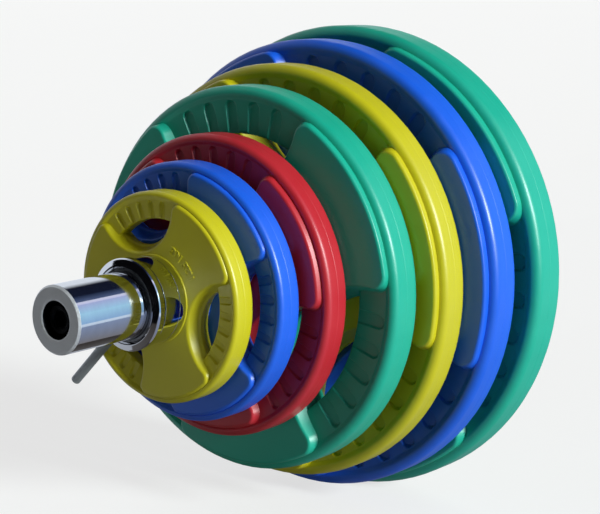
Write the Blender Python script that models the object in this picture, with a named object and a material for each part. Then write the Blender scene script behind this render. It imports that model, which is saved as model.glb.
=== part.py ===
"""Seven rubber coated grip plates on the outer end of a barbell, held by a lever collar.

Each plate is an iron casting inside a moulded rubber coat, with a steel ring lining its bore.
The plates run from the largest, against the sleeve's stop collar, to the smallest.

Units are metres. Every piece is modelled along its own Z, which points out of the bar's end,
and hangs from one empty that lays Z along the world's -Y. "Out" is a place along the bar,
counted from the inner end of the shaft stub.
"""

import math
from typing import NamedTuple

import bmesh
import bpy

# Clearances
GAP = 0.0003  # between pieces that touch in the real object
RUN_GAP = 0.0006  # beyond a stroke, before the next piece

# Bar
SHAFT_RADIUS = 0.014
SHAFT_STUB = 0.060  # the length of shaft that shows inboard of the sleeve
SHAFT_SHOULDER = 0.0015  # height of the shoulder that the sleeve's thrust washer runs against
SHAFT_CHAMFER = 0.001
JOURNAL_RADIUS = SHAFT_RADIUS - SHAFT_SHOULDER
NOSE_STEP = 0.00275  # the nose that the end washer faces is this much thinner than the journal
NOSE_RADIUS = JOURNAL_RADIUS - NOSE_STEP
SLEEVE_RADIUS = 0.025
SLEEVE_LOAD_LENGTH = 0.365  # from the stop collar's face to the outer end
SLEEVE_CHAMFER = 0.0015
SLEEVE_WEB = 0.008  # the inner shoulder that the end bolt's washer faces
END_RECESS_MARGIN = 0.00325  # round the bolt's head
BOLT_SUNK = 0.004  # how far the bolt's head lies below the sleeve's end
BUSHING_WALL = 0.0032
BUSHING_LENGTH = 0.040
BUSHING_INSET = 0.002  # the inner bushing starts this far inside the sleeve
THRUST_WASHER_INSET = 0.0015  # its edge lies this far inside the sleeve's
THRUST_WASHER_WIDTH = 0.002
STOP_COLLAR_WALL = 0.0137
STOP_COLLAR_WIDTH = 0.030
STOP_COLLAR_CHAMFER = 0.002

# Bolt that holds the sleeve on the shaft
BOLT_RADIUS = 0.006
BOLT_LENGTH = 0.030
BOLT_HEAD_RADIUS = 0.01025
BOLT_HEAD_HEIGHT = 0.008
BOLT_HEAD_EDGE = 0.0003
BOLT_RIM = 0.00225  # of the head, round its cup
BOLT_CUP_DEPTH = 0.0012
BOLT_HEX_ACROSS = 0.012
BOLT_HEX_DEPTH = 0.0045
BOLT_WASHER_WIDTH = 0.002
END_RECESS_RADIUS = BOLT_HEAD_RADIUS + END_RECESS_MARGIN

# Lever collar
COLLAR_FLANGE_OVERHANG = 0.002  # beyond the lever ring
COLLAR_FLANGE_WIDTH = 0.008
COLLAR_FLANGE_ROUND = 0.0035
COLLAR_MOUTH_FLARE = 0.0013  # how much wider the countersink is at the flange's face than at the collet
COLLAR_MOUTH_DEPTH = 0.0014
COLLAR_EDGE = 0.0008
COLLET_WALL = 0.0021  # at its thick, outer end
COLLET_TAPER = 0.0009  # how much thinner it is at its inner end
COLLET_LENGTH = 0.0095
COLLET_SLOT = 0.0025
SCREW_WALL = 0.0005  # of the collar's threaded nose, outside the collet's thick end
SCREW_TRAVEL = 0.002  # what half a turn of the lever moves the pressure ring
RING_WALL = 0.004  # of the lever ring
LEVER_RING_MARGIN = 0.00045  # each side of the lever's boss
PRESSURE_RING_WIDTH = 0.005
LEVER_RADIUS = 0.004
LEVER_TAPER = 0.0003  # how much smaller its radius is at the tip
LEVER_REACH = 0.102  # from the bar's axis to the lever's tip
LEVER_BOSS_WALL = 0.0025
LEVER_BOSS_HEIGHT = 0.0035
LEVER_CLOCK = 225.5  # degrees clockwise from up, seen from the outer end
COLLAR_BORE_RADIUS = SLEEVE_RADIUS + GAP
COLLET_SEAT_RADIUS = COLLAR_BORE_RADIUS + COLLET_WALL + GAP
SCREW_RADIUS = COLLET_SEAT_RADIUS + SCREW_WALL
RING_RADIUS = SCREW_RADIUS + GAP + RING_WALL
COLLAR_FLANGE_RADIUS = RING_RADIUS + COLLAR_FLANGE_OVERHANG
LEVER_HOLE_RADIUS = LEVER_RADIUS + GAP
LEVER_BOSS_RADIUS = LEVER_HOLE_RADIUS + LEVER_BOSS_WALL
LEVER_RING_WIDTH = 2 * (LEVER_BOSS_RADIUS + LEVER_RING_MARGIN)

# Plates, sizes that the whole family shares
BORE_GAP = 0.0005  # between a plate's bore and the sleeve
BORE_RADIUS = SLEEVE_RADIUS + BORE_GAP
HUB_RING_WALL = 0.0042
HUB_STEP = 0.0012  # how far the steel hub ring stands above the rubber lobes
LOBE_EDGE = 0.0018  # rounding of the lobes' upper edge
LOBES = 3
HOLE_HALF_ANGLE = 29.5  # from a hand hole's middle to the neighbouring lobe's corner, degrees
FLANK_SLOPE = 27.0  # of the lobes' sides, degrees off the plate's axis
LIP_HALF = 0.002  # half the thickness of the lip round a hand hole, on the spider's side
POCKETS = 5  # finger pockets at each hand hole
POCKET_DEPTH = 0.0018
POCKET_SHARE = 0.5  # of the pockets' spacing
POCKET_TAPER = 0.8  # of a pocket's width is left at its outer end
POCKET_END = 0.001  # from a pocket's outer end to the foot of the rim's band
RIM_SHARE = 0.75  # of the gap between lobe and edge is the rim's band, and the rest is a valley
FOOT_SHARE = 0.5  # of the dish lies at the foot of the rim's band
RUBBER_WALL = 0.0035
RUBBER_OVER_POCKET = 0.0012

# Facets
CHORD_ERROR = 0.0011  # how far a facet may lie inside a plate's true edge
CORE_STEPS = 18  # facets round an iron core
TURNED_STEPS = 24  # facets round the bar's pieces
SMALL_STEPS = 18  # facets round the pieces inside the sleeve
HUB_STEPS = 18  # facets round a plate's bore
LEVER_STEPS = 14
SMOOTH_ANGLE = math.radians(35)


class Plate(NamedTuple):
    """The size chart's columns."""

    name: str
    diameter: float
    thickness: float  # through the hub
    crown_inset: float  # from the hub's face back to the rim's crown
    rim_round: float  # radius of the rim's outer corner
    lobe_gap: float  # from a lobe's outer edge to the plate's edge
    lobe_corner: float  # radius of a lobe's corners, seen from the front
    grip_width: float  # from a hand hole to the plate's edge
    waist: float  # from the axis to the spider's edge at a hand hole
    dish: float  # how far the grip's inner lip lies below the rim's crown
    clock: float  # of one hand hole, degrees clockwise from up, seen from the outer end
    colour: str


YELLOW, BLUE, RED, GREEN = "C8CC1E", "1058E0", "C8242E", "0E9E78"
PLATES = (
    Plate(
        "plate_1_25kg", 0.160, 0.025, 0.0024, 0.0040, 0.0060,
        0.0055, 0.0210, 0.0355, 0.0042, -15.4, YELLOW,
    ),
    Plate(
        "plate_2_5kg", 0.200, 0.030, 0.0028, 0.0048, 0.0085,
        0.0065, 0.0245, 0.0445, 0.0048, -23.4, BLUE,
    ),
    Plate(
        "plate_5kg", 0.236, 0.033, 0.0031, 0.0055, 0.0105,
        0.0080, 0.0290, 0.0525, 0.0054, 2.3, RED,
    ),
    Plate(
        "plate_10kg", 0.306, 0.042, 0.0040, 0.0070, 0.0140,
        0.0100, 0.0375, 0.0680, 0.0064, -3.7, GREEN,
    ),
    Plate(
        "plate_15kg", 0.336, 0.040, 0.0038, 0.0072, 0.0155,
        0.0110, 0.0410, 0.0745, 0.0068, 15.6, YELLOW,
    ),
    Plate(
        "plate_20kg", 0.372, 0.045, 0.0043, 0.0078, 0.0170,
        0.0120, 0.0455, 0.0825, 0.0074, 21.6, BLUE,
    ),
    Plate(
        "plate_25kg", 0.392, 0.051, 0.0048, 0.0085, 0.0180,
        0.0125, 0.0480, 0.0870, 0.0078, -15.4, GREEN,
    ),
)


def clear_scene():
    for obj in list(bpy.data.objects):
        bpy.data.objects.remove(obj)


def linear(hex_colour):
    """An sRGB colour such as C8CC1E as linear RGBA."""
    channels = [int(hex_colour[i : i + 2], 16) / 255 for i in (0, 2, 4)]
    return [c / 12.92 if c <= 0.04045 else ((c + 0.055) / 1.055) ** 2.4 for c in channels] + [1.0]


def material(name, hex_colour, roughness, metallic):
    found = bpy.data.materials.get(name)
    if found:
        return found
    made = bpy.data.materials.new(name)
    made.use_nodes = True
    shader = made.node_tree.nodes["Principled BSDF"]
    shader.inputs["Base Color"].default_value = linear(hex_colour)
    shader.inputs["Roughness"].default_value = roughness
    shader.inputs["Metallic"].default_value = metallic
    return made


def rubber(colour):
    return material("rubber_" + colour, colour, 0.45, 0.0)


def cast_iron():
    return material("cast_iron", "2B2B2C", 0.75, 0.8)


def chrome():
    return material("chrome", "D6D8DC", 0.08, 1.0)


def steel():
    return material("steel", "8E9093", 0.35, 1.0)


def bronze():
    return material("bronze", "9C7440", 0.4, 1.0)


def object_from(name, shape, parent=None):
    """Turns a bmesh into an object with its faces pointing out, shaded smooth over its curves."""
    bmesh.ops.recalc_face_normals(shape, faces=shape.faces)
    mesh = bpy.data.meshes.new(name)
    shape.to_mesh(mesh)
    shape.free()
    mesh.shade_smooth()
    mesh.set_sharp_from_angle(angle=SMOOTH_ANGLE)
    obj = bpy.data.objects.new(name, mesh)
    obj.parent = parent
    bpy.context.scene.collection.objects.link(obj)
    return obj


def place(obj, out, clock=0.0, finish=None):
    """Moves a piece along the bar, turns it clockwise as seen from the end and gives it its finish."""
    obj.location.z = out
    obj.rotation_euler.z = -math.radians(clock)
    if finish:
        obj.data.materials.append(finish)
    return obj


def helper(obj):
    """A shape that only takes part in a Boolean."""
    obj.hide_render = True
    obj.display_type = "WIRE"
    return obj


def boolean(obj, other, operation):
    """Joins or cuts with a helper that keeps the same origin and turn as the object."""
    other.parent = obj.parent
    other.location = obj.location
    other.rotation_euler = obj.rotation_euler
    modifier = obj.modifiers.new(operation.lower() + "_" + other.name, "BOOLEAN")
    modifier.operation = operation
    modifier.solver = "EXACT"
    modifier.object = helper(other)


def turned(profile, steps):
    """Spins a closed profile of (radius, height) corners round Z."""
    shape = bmesh.new()
    corners = [shape.verts.new((radius, 0, height)) for radius, height in profile]
    edges = [shape.edges.new((a, b)) for a, b in zip(corners, corners[1:] + corners[:1])]
    axis_edges = [edge for edge in edges if max(abs(v.co.x) for v in edge.verts) == 0]
    edges = [edge for edge in edges if edge not in axis_edges]
    bmesh.ops.delete(shape, geom=axis_edges, context="EDGES_FACES")
    bmesh.ops.spin(
        shape, geom=corners + edges, cent=(0, 0, 0), axis=(0, 0, 1), angle=2 * math.pi,
        steps=steps, use_merge=True,
    )
    bmesh.ops.remove_doubles(shape, verts=shape.verts, dist=1e-7)
    return shape


def loft(loops):
    """Skins loops of the same number of points and closes both ends."""
    shape = bmesh.new()
    rows = [[shape.verts.new(point) for point in loop] for loop in loops]
    for low, high in zip(rows, rows[1:]):
        for i in range(len(low)):
            shape.faces.new((low[i - 1], low[i], high[i], high[i - 1]))
    shape.faces.new(rows[0])
    shape.faces.new(rows[-1])
    return shape


def prism(outline, low, high):
    return loft([[(x, y, height) for x, y in outline] for height in (low, high)])


def arc(centre, radius, start, end, steps):
    """Points from start to end, in radians, both ends included."""
    turn = (end - start) / steps
    return [
        (centre[0] + radius * math.cos(start + turn * i), centre[1] + radius * math.sin(start + turn * i))
        for i in range(steps + 1)
    ]


def arc_inset(rounding):
    """How far the middle of a rounded corner lies inside each of its two sides."""
    return rounding * (1 - math.cos(math.pi / 4))


def rotated(points, angle):
    c, s = math.cos(angle), math.sin(angle)
    return [(x * c - y * s, x * s + y * c) for x, y in points]


def radial_rod(start, end, start_radius, end_radius, steps, tip_edge=0.0):
    """A rod along +Y, from one distance off the axis to another."""
    stations = [(start, start_radius), (end - tip_edge, end_radius)]
    if tip_edge:
        stations.append((end, end_radius - tip_edge))
    circle = [2 * math.pi * i / steps for i in range(steps)]
    return loft([[(r * math.cos(a), y, r * math.sin(a)) for a in circle] for y, r in stations])


def steps_round(radius):
    """Facets round a plate, a multiple of six so that all three lobes come out alike."""
    needed = math.pi / math.acos(1 - CHORD_ERROR / radius)
    return 6 * math.ceil(needed / 6)


class PlateForm:
    """The sizes of one plate that follow from its row in the chart."""

    def __init__(self, plate):
        self.plate = plate
        self.radius = plate.diameter / 2
        self.hub_half = plate.thickness / 2
        self.lobe_top = self.hub_half - HUB_STEP
        self.crown = self.hub_half - plate.crown_inset
        self.lip_top = self.crown - plate.dish
        self.reach = self.radius - plate.lobe_gap
        self.foot_radius = self.radius - RIM_SHARE * plate.lobe_gap
        self.foot_top = self.crown - FOOT_SHARE * plate.dish
        self.hole_radius = self.radius - plate.grip_width
        self.slope = math.radians(FLANK_SLOPE)
        self.flank = (self.lobe_top - LIP_HALF) * math.tan(self.slope)
        self.steps = steps_round(self.radius)
        corner_x = self.reach * math.cos(math.radians(HOLE_HALF_ANGLE))
        # The circle through the waist and both lobe corners scoops the spider's side out.
        self.scoop_centre = (self.reach**2 - plate.waist**2) / (2 * (corner_x - plate.waist))
        self.scoop_radius = self.scoop_centre - plate.waist

    def spider(self, grow, corner_steps, scoop_steps, reach_steps):
        """The outline of hub and lobes, moved out by grow. The first hand hole points up."""
        corner = self.plate.lobe_corner
        centre_line = self.reach - corner
        side = math.acos(
            (centre_line**2 + self.scoop_centre**2 - (self.scoop_radius + corner) ** 2)
            / (2 * centre_line * self.scoop_centre)
        )
        corner_at = (centre_line * math.cos(side), centre_line * math.sin(side))
        mouth = math.atan2(corner_at[1], corner_at[0] - self.scoop_centre)
        before = arc((corner_at[0], -corner_at[1]), corner + grow, -side, math.pi - mouth, corner_steps)
        scoop = arc(
            (self.scoop_centre, 0), self.scoop_radius - grow, 2 * math.pi - mouth, mouth, scoop_steps
        )
        after = arc(corner_at, corner + grow, mouth - math.pi, side, corner_steps)
        outer = arc((0, 0), self.reach + grow, side, 2 * math.pi / LOBES - side, reach_steps)
        third = before + scoop[1:-1] + after + outer[1:-1]
        return self.all_round(third)

    def all_round(self, points):
        """Repeats points drawn for a hole along +X at every hole, the first one up."""
        return [
            point
            for k in range(LOBES)
            for point in rotated(points, math.pi / 2 + 2 * math.pi * k / LOBES)
        ]

    def grip_profile(self):
        """The section of the outer ring: dished grip, rim band and rounded corner."""
        rounding = self.plate.rim_round
        middle = arc_inset(rounding)
        lower = [
            (self.hole_radius, self.lip_top),
            (self.foot_radius, self.foot_top),
            (self.radius - rounding, self.crown),
            (self.radius, self.crown - rounding),
        ]
        upper = lower[:3] + [(self.radius - middle, self.crown - middle)] + lower[3:]
        return upper + [(radius, -height) for radius, height in reversed(lower)]

    def core_ring_half(self):
        return self.lip_top - POCKET_DEPTH - RUBBER_OVER_POCKET


def merged(shapes):
    """One bmesh from several that lie apart."""
    whole = bmesh.new()
    for shape in shapes:
        mesh = bpy.data.meshes.new("part_of_cutter")
        shape.to_mesh(mesh)
        shape.free()
        whole.from_mesh(mesh)
        bpy.data.meshes.remove(mesh)
    return whole


def bore_cutter(form, name):
    radius = BORE_RADIUS + HUB_RING_WALL + GAP
    high = form.plate.thickness
    return object_from(name, turned([(0, high), (radius, high), (radius, -high), (0, -high)], HUB_STEPS))


def iron_shape(form, name, grow, parent=None):
    """The casting without its bore: a flat ring, and a thicker spider that follows the coat's flanks."""
    wall = RUBBER_WALL - grow
    half = form.core_ring_half() + grow
    inner = form.hole_radius + wall
    outer = form.radius - wall
    ring = object_from(
        name, turned([(inner, half), (outer, half), (outer, -half), (inner, -half)], CORE_STEPS), parent
    )
    top = form.lobe_top - wall
    loops = []
    for height in (-top, 0.0, top):
        spread = (form.lobe_top - abs(height)) * math.tan(form.slope) - wall / math.cos(form.slope)
        loops.append([(x, y, height) for x, y in form.spider(spread, 1, 3, 2)])
    boolean(ring, object_from(name + "_spider", loft(loops)), "UNION")
    return ring


def iron_core(form, parent, out):
    core = iron_shape(form, form.plate.name + "_iron_core", 0.0, parent)
    place(core, out, form.plate.clock, cast_iron())
    for modifier in core.modifiers:
        modifier.object.location = core.location
        modifier.object.rotation_euler = core.rotation_euler
    boolean(core, bore_cutter(form, form.plate.name + "_core_bore"), "DIFFERENCE")
    return core


def pocket_cutter(form, name):
    """Shallow finger pockets that narrow outwards, side by side along the rim of each hand hole."""
    pitch = 2 * math.radians(HOLE_HALF_ANGLE) / (POCKETS + 1)
    last = pitch * (POCKETS - 1) / 2
    start = form.hole_radius * math.cos(last)
    end = form.foot_radius * math.cos(math.pi / form.steps) - POCKET_END
    half = POCKET_SHARE * pitch * (form.hole_radius + end) / 2 / 2
    outline = [(start, -half), (end, -half * POCKET_TAPER), (end, half * POCKET_TAPER), (start, half)]
    low, high = form.lip_top - POCKET_DEPTH, form.plate.thickness
    pockets = []
    for k in range(LOBES):
        for j in range(POCKETS):
            angle = math.pi / 2 + 2 * math.pi * k / LOBES + pitch * j - last
            pockets.append(prism(rotated(outline, angle), low, high))
    return object_from(name, merged(pockets))


def rubber_coat(form, parent, out):
    """The moulded skin: grip ring and spider, less the finger pockets, the casting and the bore."""
    name = form.plate.name
    coat = object_from(name + "_rubber_coat", turned(form.grip_profile(), form.steps), parent)
    place(coat, out, form.plate.clock, rubber(form.plate.colour))
    stations = [
        (-form.lobe_top, 0.0), (-LIP_HALF, form.flank), (LIP_HALF, form.flank),
        (form.lobe_top - LOBE_EDGE, 0.0), (form.lobe_top, -LOBE_EDGE),
    ]
    loops = [[(x, y, height) for x, y in form.spider(grow, 2, 4, 3)] for height, grow in stations]
    boolean(coat, object_from(name + "_spider", loft(loops)), "UNION")
    boolean(coat, pocket_cutter(form, name + "_pockets"), "DIFFERENCE")
    cavity = iron_shape(form, name + "_cavity", GAP)
    boolean(coat, cavity, "DIFFERENCE")
    for modifier in cavity.modifiers:
        modifier.object.parent = parent
        modifier.object.location = cavity.location
        modifier.object.rotation_euler = cavity.rotation_euler
    boolean(coat, bore_cutter(form, name + "_coat_bore"), "DIFFERENCE")
    return coat


def ring_profile(inner, outer, low, high, edge=0.0):
    """A plain ring. An edge breaks its two outer corners."""
    if not edge:
        return [(inner, low), (inner, high), (outer, high), (outer, low)]
    return [
        (inner, low), (inner, high), (outer - edge, high),
        (outer, high - edge), (outer, low + edge), (outer - edge, low),
    ]


def ring_piece(name, inner, outer, low, high, finish, parent, steps, edge=0.0):
    ring = object_from(name, turned(ring_profile(inner, outer, 0, high - low, edge), steps), parent)
    return place(ring, low, 0.0, finish)


def add_plate(plate, parent, low):
    """Builds one plate with its inner hub face at low, and returns its outer hub face."""
    form = PlateForm(plate)
    middle = low + form.hub_half
    rubber_coat(form, parent, middle)
    iron_core(form, parent, middle)
    ring = ring_piece(
        plate.name + "_hub_ring", BORE_RADIUS, BORE_RADIUS + HUB_RING_WALL, low, low + plate.thickness,
        steel(), parent, HUB_STEPS,
    )
    place(ring, low, plate.clock)
    return low + plate.thickness


def add_bar(parent):
    """Builds shaft and sleeve, and returns the place of the stop collar's outer face."""
    sleeve_start = SHAFT_STUB + GAP + THRUST_WASHER_WIDTH + GAP
    stop_face = sleeve_start + STOP_COLLAR_WIDTH
    sleeve_end = stop_face + SLEEVE_LOAD_LENGTH
    head_top = sleeve_end - BOLT_SUNK
    head_base = head_top - BOLT_HEAD_HEIGHT
    cup_floor = head_top - BOLT_CUP_DEPTH
    cup_radius = BOLT_HEAD_RADIUS - BOLT_RIM
    washer_base = head_base - GAP - BOLT_WASHER_WIDTH
    nose_end = washer_base - GAP
    recess_floor = nose_end - GAP
    web_inner = recess_floor - SLEEVE_WEB
    journal_end = web_inner - RUN_GAP
    bushing_inner = JOURNAL_RADIUS + GAP
    bushing_outer = bushing_inner + BUSHING_WALL
    tap_radius = BOLT_RADIUS + GAP
    bolt_end = head_base - BOLT_LENGTH
    tap_end = bolt_end - RUN_GAP
    drill_point = tap_end - tap_radius

    shaft = [
        (0, 0), (SHAFT_RADIUS - SHAFT_CHAMFER, 0), (SHAFT_RADIUS, SHAFT_CHAMFER),
        (SHAFT_RADIUS, SHAFT_STUB), (JOURNAL_RADIUS, SHAFT_STUB), (JOURNAL_RADIUS, journal_end),
        (NOSE_RADIUS, journal_end), (NOSE_RADIUS, nose_end), (tap_radius, nose_end),
        (tap_radius, tap_end), (0, drill_point),
    ]
    place(object_from("bar_shaft", turned(shaft, SMALL_STEPS), parent), 0.0, 0.0, chrome())

    bolt = [
        (0, bolt_end), (BOLT_RADIUS, bolt_end), (BOLT_RADIUS, head_base), (BOLT_HEAD_RADIUS, head_base),
        (BOLT_HEAD_RADIUS, head_top - BOLT_HEAD_EDGE), (BOLT_HEAD_RADIUS - BOLT_HEAD_EDGE, head_top),
        (cup_radius, head_top), (cup_radius - BOLT_CUP_DEPTH, cup_floor), (0, cup_floor),
    ]
    bolt = place(object_from("end_bolt", turned(bolt, SMALL_STEPS), parent), 0.0, 0.0, steel())
    hexagon = arc((0, 0), BOLT_HEX_ACROSS / math.sqrt(3), 0, 2 * math.pi, 6)[:-1]
    socket = prism(hexagon, cup_floor - BOLT_HEX_DEPTH, sleeve_end)
    boolean(bolt, object_from("end_bolt_socket", socket), "DIFFERENCE")
    ring_piece(
        "end_washer", BOLT_RADIUS + GAP, END_RECESS_RADIUS - RUN_GAP, washer_base, head_base - GAP, steel(),
        parent, SMALL_STEPS,
    )
    ring_piece(
        "thrust_washer", bushing_inner, SLEEVE_RADIUS - THRUST_WASHER_INSET, SHAFT_STUB + GAP,
        sleeve_start - GAP, bronze(), parent, SMALL_STEPS,
    )

    bore = bushing_outer + GAP
    sleeve = [
        (bore, sleeve_start), (SLEEVE_RADIUS, sleeve_start), (SLEEVE_RADIUS, sleeve_end - SLEEVE_CHAMFER),
        (SLEEVE_RADIUS - SLEEVE_CHAMFER, sleeve_end), (END_RECESS_RADIUS, sleeve_end),
        (END_RECESS_RADIUS, recess_floor), (NOSE_RADIUS + RUN_GAP, recess_floor),
        (NOSE_RADIUS + RUN_GAP, web_inner), (bore, web_inner),
    ]
    place(object_from("sleeve_tube", turned(sleeve, TURNED_STEPS), parent), 0.0, 0.0, chrome())
    stop_bore = SLEEVE_RADIUS + GAP
    ring_piece(
        "stop_collar", stop_bore, stop_bore + STOP_COLLAR_WALL, sleeve_start, stop_face, chrome(), parent,
        TURNED_STEPS, STOP_COLLAR_CHAMFER,
    )
    inner_low = sleeve_start + BUSHING_INSET
    outer_high = web_inner - GAP
    for name, low in (("inner_bushing", inner_low), ("outer_bushing", outer_high - BUSHING_LENGTH)):
        ring_piece(
            name, bushing_inner, bushing_outer, low, low + BUSHING_LENGTH, bronze(), parent, SMALL_STEPS
        )
    return stop_face


def add_collar(parent, hub_face):
    """Builds the lever collar against the outermost plate's hub."""
    pressure_low = hub_face + GAP
    pressure_high = pressure_low + PRESSURE_RING_WIDTH
    lever_low = pressure_high + GAP
    lever_high = lever_low + LEVER_RING_WIDTH
    flange_low = lever_high + SCREW_TRAVEL + RUN_GAP
    flange_high = flange_low + COLLAR_FLANGE_WIDTH
    nose_low = pressure_high + SCREW_TRAVEL + RUN_GAP
    mouth_low = flange_high - COLLAR_MOUTH_DEPTH
    seat_low = mouth_low - COLLET_LENGTH
    bore, seat, flange = COLLAR_BORE_RADIUS, COLLET_SEAT_RADIUS, COLLAR_FLANGE_RADIUS
    rounding, edge = COLLAR_FLANGE_ROUND, COLLAR_EDGE
    middle = arc_inset(rounding)

    body = [
        (bore, nose_low), (SCREW_RADIUS - edge, nose_low), (SCREW_RADIUS, nose_low + edge),
        (SCREW_RADIUS, flange_low), (flange - edge, flange_low), (flange, flange_low + edge),
        (flange, flange_high - rounding), (flange - middle, flange_high - middle),
        (flange - rounding, flange_high), (seat + COLLAR_MOUTH_FLARE, flange_high), (seat, mouth_low),
        (seat - COLLET_TAPER, seat_low), (bore, seat_low),
    ]
    place(object_from("collar_body", turned(body, TURNED_STEPS), parent), 0.0, 0.0, chrome())

    collet_low = seat_low + GAP
    collet = [
        (bore, collet_low), (seat - COLLET_TAPER - GAP, collet_low),
        (seat - GAP, mouth_low), (bore, mouth_low),
    ]
    collet = place(object_from("grip_collet", turned(collet, TURNED_STEPS), parent), 0.0, 0.0, steel())
    side = COLLET_SLOT / 2
    slot = [(-side, 0), (side, 0), (side, flange), (-side, flange)]
    boolean(collet, object_from("collet_slot", prism(slot, nose_low, flange_high)), "DIFFERENCE")

    ring_piece(
        "pressure_ring", bore, RING_RADIUS, pressure_low, pressure_high, chrome(), parent, TURNED_STEPS, edge
    )

    ring_inner = SCREW_RADIUS + GAP
    half = LEVER_RING_WIDTH / 2
    ring = object_from(
        "lever_ring", turned(ring_profile(ring_inner, RING_RADIUS, -half, half, edge), TURNED_STEPS), parent
    )
    place(ring, lever_low + half, LEVER_CLOCK, chrome())
    boss_top = RING_RADIUS + LEVER_BOSS_HEIGHT
    boss = radial_rod(
        (ring_inner + RING_RADIUS) / 2, boss_top, LEVER_BOSS_RADIUS, LEVER_BOSS_RADIUS - edge, LEVER_STEPS
    )
    boolean(ring, object_from("lever_boss", boss), "UNION")
    hole = radial_rod(ring_inner / 2, boss_top + half, LEVER_HOLE_RADIUS, LEVER_HOLE_RADIUS, LEVER_STEPS)
    boolean(ring, object_from("lever_hole", hole), "DIFFERENCE")
    lever = radial_rod(
        ring_inner + GAP, LEVER_REACH, LEVER_RADIUS, LEVER_RADIUS - LEVER_TAPER, LEVER_STEPS, edge
    )
    place(object_from("clamp_lever", lever, parent), lever_low + half, LEVER_CLOCK, steel())


def main():
    clear_scene()
    bar_axis = bpy.data.objects.new("bar_axis", None)
    bar_axis.rotation_euler.x = math.pi / 2
    bpy.context.scene.collection.objects.link(bar_axis)
    hub_face = add_bar(bar_axis)
    for plate in reversed(PLATES):
        hub_face = add_plate(plate, bar_axis, hub_face + GAP)
    add_collar(bar_axis, hub_face)


if __name__ == "__main__":
    main()
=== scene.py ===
"""The looks of a loaded barbell end: coloured grip plates on a chrome sleeve, on a pale floor.

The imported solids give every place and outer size. This script builds the fine surfaces round them:
smooth moulded rubber with finger pockets and raised numbers, polished chrome, and the studio.

Units are metres. Round pieces are modelled along their own Z, which points out of the bar's end
and is laid along the world's -Y. "Out" is a place along the bar, counted along that Z.
"""

import math
from typing import NamedTuple

import bmesh
import bpy
from bpy.props import FloatProperty, FloatVectorProperty, PointerProperty
from mathutils import Matrix, Vector


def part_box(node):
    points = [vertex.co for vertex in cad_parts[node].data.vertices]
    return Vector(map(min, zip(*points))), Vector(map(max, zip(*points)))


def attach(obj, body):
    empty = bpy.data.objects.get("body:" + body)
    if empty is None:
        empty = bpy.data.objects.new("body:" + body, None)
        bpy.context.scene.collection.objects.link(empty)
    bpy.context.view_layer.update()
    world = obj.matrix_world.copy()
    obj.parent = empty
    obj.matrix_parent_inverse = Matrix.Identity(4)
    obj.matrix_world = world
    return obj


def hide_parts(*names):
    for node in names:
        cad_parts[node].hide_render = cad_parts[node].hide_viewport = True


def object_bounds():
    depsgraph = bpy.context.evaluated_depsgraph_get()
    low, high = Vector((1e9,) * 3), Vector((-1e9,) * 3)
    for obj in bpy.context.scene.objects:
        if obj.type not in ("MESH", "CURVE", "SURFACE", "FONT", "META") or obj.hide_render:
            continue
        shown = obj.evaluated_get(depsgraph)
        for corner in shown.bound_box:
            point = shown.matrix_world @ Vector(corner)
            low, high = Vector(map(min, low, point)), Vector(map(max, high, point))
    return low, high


bl_info = {
    "name": "Loaded barbell end",
    "version": (1, 0, 0),
    "blender": (4, 5, 0),
    "location": "View3D > Sidebar > Barbell",
    "description": "Rubber coated grip plates on a chrome sleeve with a lever collar",
    "category": "Object",
}

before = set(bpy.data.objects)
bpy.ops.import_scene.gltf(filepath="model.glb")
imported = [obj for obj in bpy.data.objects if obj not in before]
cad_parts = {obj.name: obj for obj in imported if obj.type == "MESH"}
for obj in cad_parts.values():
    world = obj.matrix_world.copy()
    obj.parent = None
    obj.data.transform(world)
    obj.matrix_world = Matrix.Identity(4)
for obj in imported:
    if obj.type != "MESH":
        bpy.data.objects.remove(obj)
CAD_BOUNDS = [list(corner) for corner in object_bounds()]

GAP = 0.0003  # between pieces that run or slide on each other
RUN_GAP = 0.0006  # between pieces that only have to clear each other
FINE_EDGE = 0.0003  # rounding of edges that hardly show
TURNED_EDGE = 0.0006  # rounding of edges that show

# Sleeve and shaft
SHAFT_CHAMFER = 0.001
BUSHING_WALL = 0.0032
NOSE_RADIUS = 0.00975  # of the shaft's end, which reaches through the sleeve's web
END_RECESS_RADIUS = 0.0135
RECESS_ROUNDING = 0.0022  # of the recess's mouth
SLEEVE_CHAMFER = 0.0015
STOP_COLLAR_ROUNDING = 0.002

# The bolt in the sleeve's end
BOLT_RADIUS = 0.006
BOLT_HEAD_HEIGHT = 0.008
BOLT_CUP_RADIUS = 0.008
BOLT_CUP_DEPTH = 0.0012
BOLT_HEX_ACROSS = 0.012
BOLT_HEX_DEPTH = 0.0045

# Lever collar
SCREW_RADIUS = 0.0282
FLANGE_WIDTH = 0.008
FLANGE_CONE_DEPTH = 0.0021  # how far the flange's face falls back towards its edge
FLANGE_CONE_WIDTH = 0.0052
FLANGE_CONE_ROUNDING = 0.004
MOUTH_FLARE = 0.0037
MOUTH_DEPTH = 0.0014
COLLET_TAPER = 0.0009
LEVER_RING_INNER = 0.0285
LEVER_RING_OUTER = 0.0325
LEVER_BOSS_TOP = 0.036
LEVER_BOSS_RADIUS = 0.0068
LEVER_RADIUS = 0.004
LEVER_TAPER = 0.0003
LEVER_TIP_ROUNDING = 0.0009
LEVER_REACH = 0.102
LEVER_CLOCK = 225.5  # of the lever at rest, degrees clockwise from up, seen from the outer end

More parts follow.
